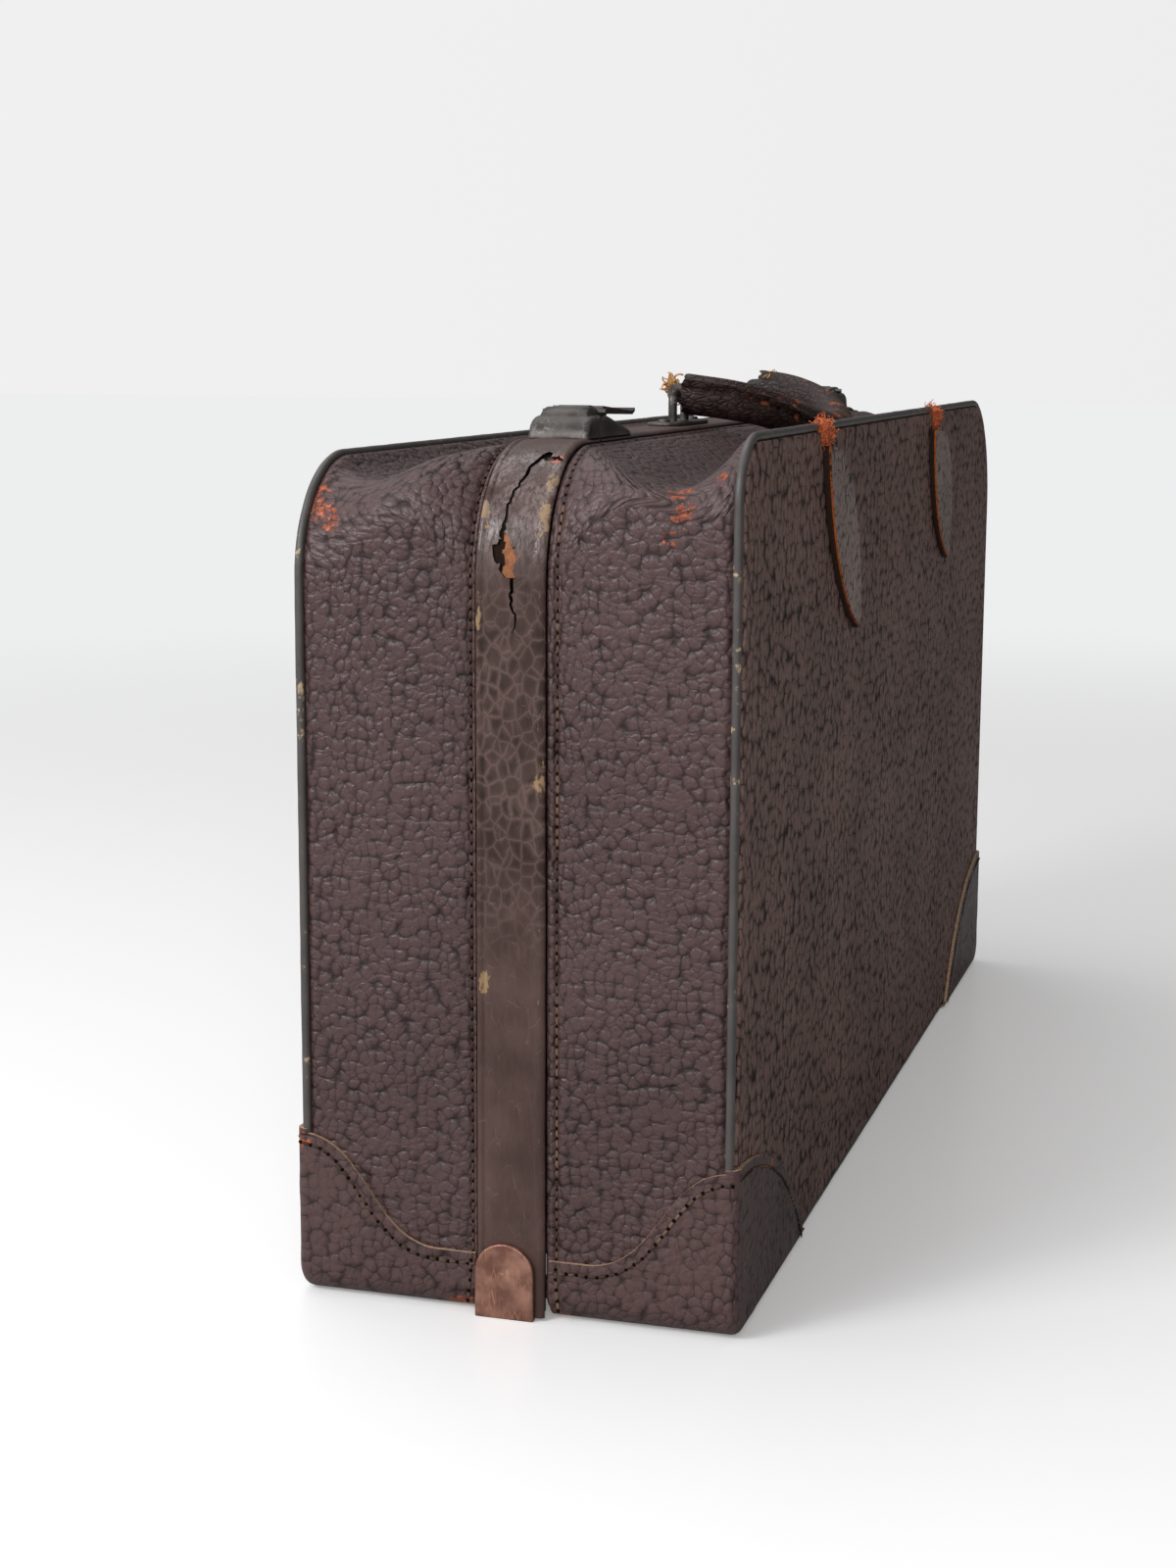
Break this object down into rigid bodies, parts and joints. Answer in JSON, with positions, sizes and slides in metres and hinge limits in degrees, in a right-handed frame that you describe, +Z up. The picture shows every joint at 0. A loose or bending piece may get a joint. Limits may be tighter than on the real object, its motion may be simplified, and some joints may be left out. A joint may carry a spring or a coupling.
{
  "type": "two-compartment travel bag",
  "caption": "Oblong leather travel case in two hinged halves, with a banded steel frame, two top catches, a swinging handle and corner patches.",
  "frame": {"origin": "on the floor at the middle of the case's footprint, under the parting line between the two halves", "axes": "+X along the case's length, +Y from the opening half towards the back half, +Z up"},
  "size_m": [0.6158, 0.179, 0.3484],
  "materials": {
    "grained_leather": "dark brown pebble-grained hide, satin, scuffed at the edges",
    "patch_leather": "dark brown hide with raw cut edges",
    "band_leather": "smooth olive-brown hide, polished by wear and cracked at one corner",
    "piping_leather": "dark grey-brown, worn pale in spots",
    "strap_leather": "smooth brown hide, torn orange at the cut ends",
    "handle_leather": "dark rolled leather, worn through to tan at the ends",
    "cord": "jute cord",
    "fibreboard": "pressed fibre board",
    "lining_cloth": "woven tan lining cloth",
    "frame_steel": "plain strip steel",
    "dark_steel": "dark tarnished pressed steel",
    "coppered_steel": "copper-washed steel, tarnished, with one bright scratch"
  },
  "bodies": {
    "back_shell": {"back_gusset": "grained_leather", "back_lining": "lining_cloth", "back_base_board": "fibreboard", "back_board": "fibreboard", "back_panel": "grained_leather", "back_piping": "piping_leather", "back_frame": "frame_steel", "frame_band": "band_leather", "back_left_patch": "patch_leather", "back_right_patch": "patch_leather", "back_left_stub": "strap_leather", "back_right_stub": "strap_leather", "left_hinge_plate": "coppered_steel", "right_hinge_plate": "coppered_steel", "hinge_pins": "frame_steel", "left_catch_case": "dark_steel", "right_catch_case": "dark_steel", "catch_pins": "dark_steel", "left_bracket_plate": "dark_steel", "right_bracket_plate": "dark_steel", "left_bracket_staple": "dark_steel", "right_bracket_staple": "dark_steel", "bracket_rivets": "dark_steel"},
    "front_shell": {"front_gusset": "grained_leather", "front_lining": "lining_cloth", "front_base_board": "fibreboard", "front_board": "fibreboard", "front_panel": "grained_leather", "front_piping": "piping_leather", "front_frame": "frame_steel", "front_left_patch": "patch_leather", "front_right_patch": "patch_leather", "front_left_stub": "strap_leather", "front_right_stub": "strap_leather", "strap_tack": "dark_steel", "catch_keepers": "dark_steel"},
    "handle": {"handle_grip": "handle_leather", "handle_core": "cord", "handle_loops": "dark_steel"},
    "left_catch": {"left_catch_lever": "dark_steel"},
    "right_catch": {"right_catch_lever": "dark_steel"}
  },
  "joints": [
    {"name": "front_shell_hinge", "type": "hinge", "parent": "back_shell", "child": "front_shell", "pos_m": [0, 0, 0.0032], "axis": [1, 0, 0], "range_deg": [0, 162]},
    {"name": "handle_hinge", "type": "hinge", "parent": "back_shell", "child": "handle", "pos_m": [0, 0, 0.339], "axis": [-1, 0, 0], "range_deg": [0, 168]},
    {"name": "left_catch_hinge", "type": "hinge", "parent": "back_shell", "child": "left_catch", "pos_m": [-0.229, 0, 0.3347], "axis": [0, -1, 0], "range_deg": [-8, 64]},
    {"name": "right_catch_hinge", "type": "hinge", "parent": "back_shell", "child": "right_catch", "pos_m": [0.229, 0, 0.3347], "axis": [0, 1, 0], "range_deg": [-8, 64]}
  ]
}
